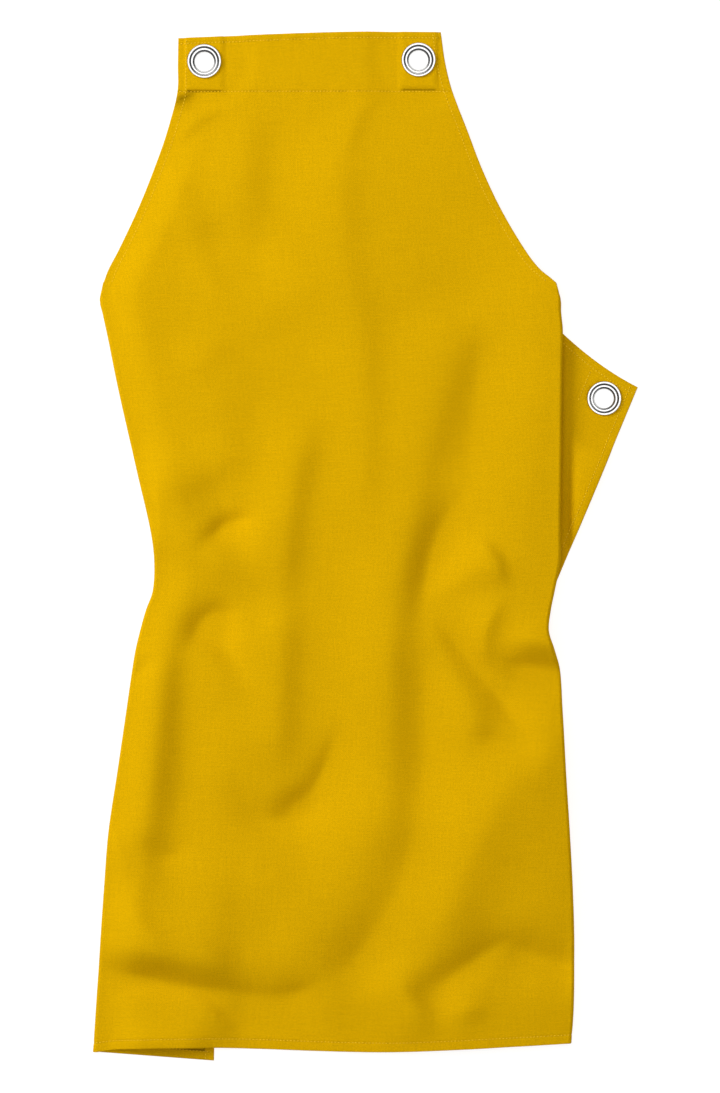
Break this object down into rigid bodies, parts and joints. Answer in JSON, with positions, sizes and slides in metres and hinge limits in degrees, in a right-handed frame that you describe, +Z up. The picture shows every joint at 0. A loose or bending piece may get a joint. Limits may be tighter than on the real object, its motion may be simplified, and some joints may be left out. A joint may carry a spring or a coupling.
{
  "type": "bib apron",
  "caption": "Canvas bib apron laid flat with its sides folded under, stitched hems, a turned-over top band, and metal eyelets at its corners for neck and waist straps.",
  "frame": {"origin": "on the surface that the apron lies on, under the middle of its box", "axes": "+Y from the hem to the top of the bib, +X to the right of the front as it is seen from above, +Z up from the surface, out of the front of the cloth"},
  "size_m": [0.4787, 0.9049, 0.025],
  "materials": {
    "canvas": "matt woven",
    "nickel": "polished"
  },
  "bodies": {
    "root": {"apron_body": "canvas", "eyelet_bib_left": "nickel", "washer_bib_left": "nickel", "patch_bib_left": "canvas", "eyelet_bib_right": "nickel", "washer_bib_right": "nickel", "patch_bib_right": "canvas", "eyelet_side_right": "nickel", "washer_side_right": "nickel", "patch_side_right": "canvas", "eyelet_side_left": "nickel", "washer_side_left": "nickel", "patch_side_left": "canvas"}
  },
  "joints": []
}
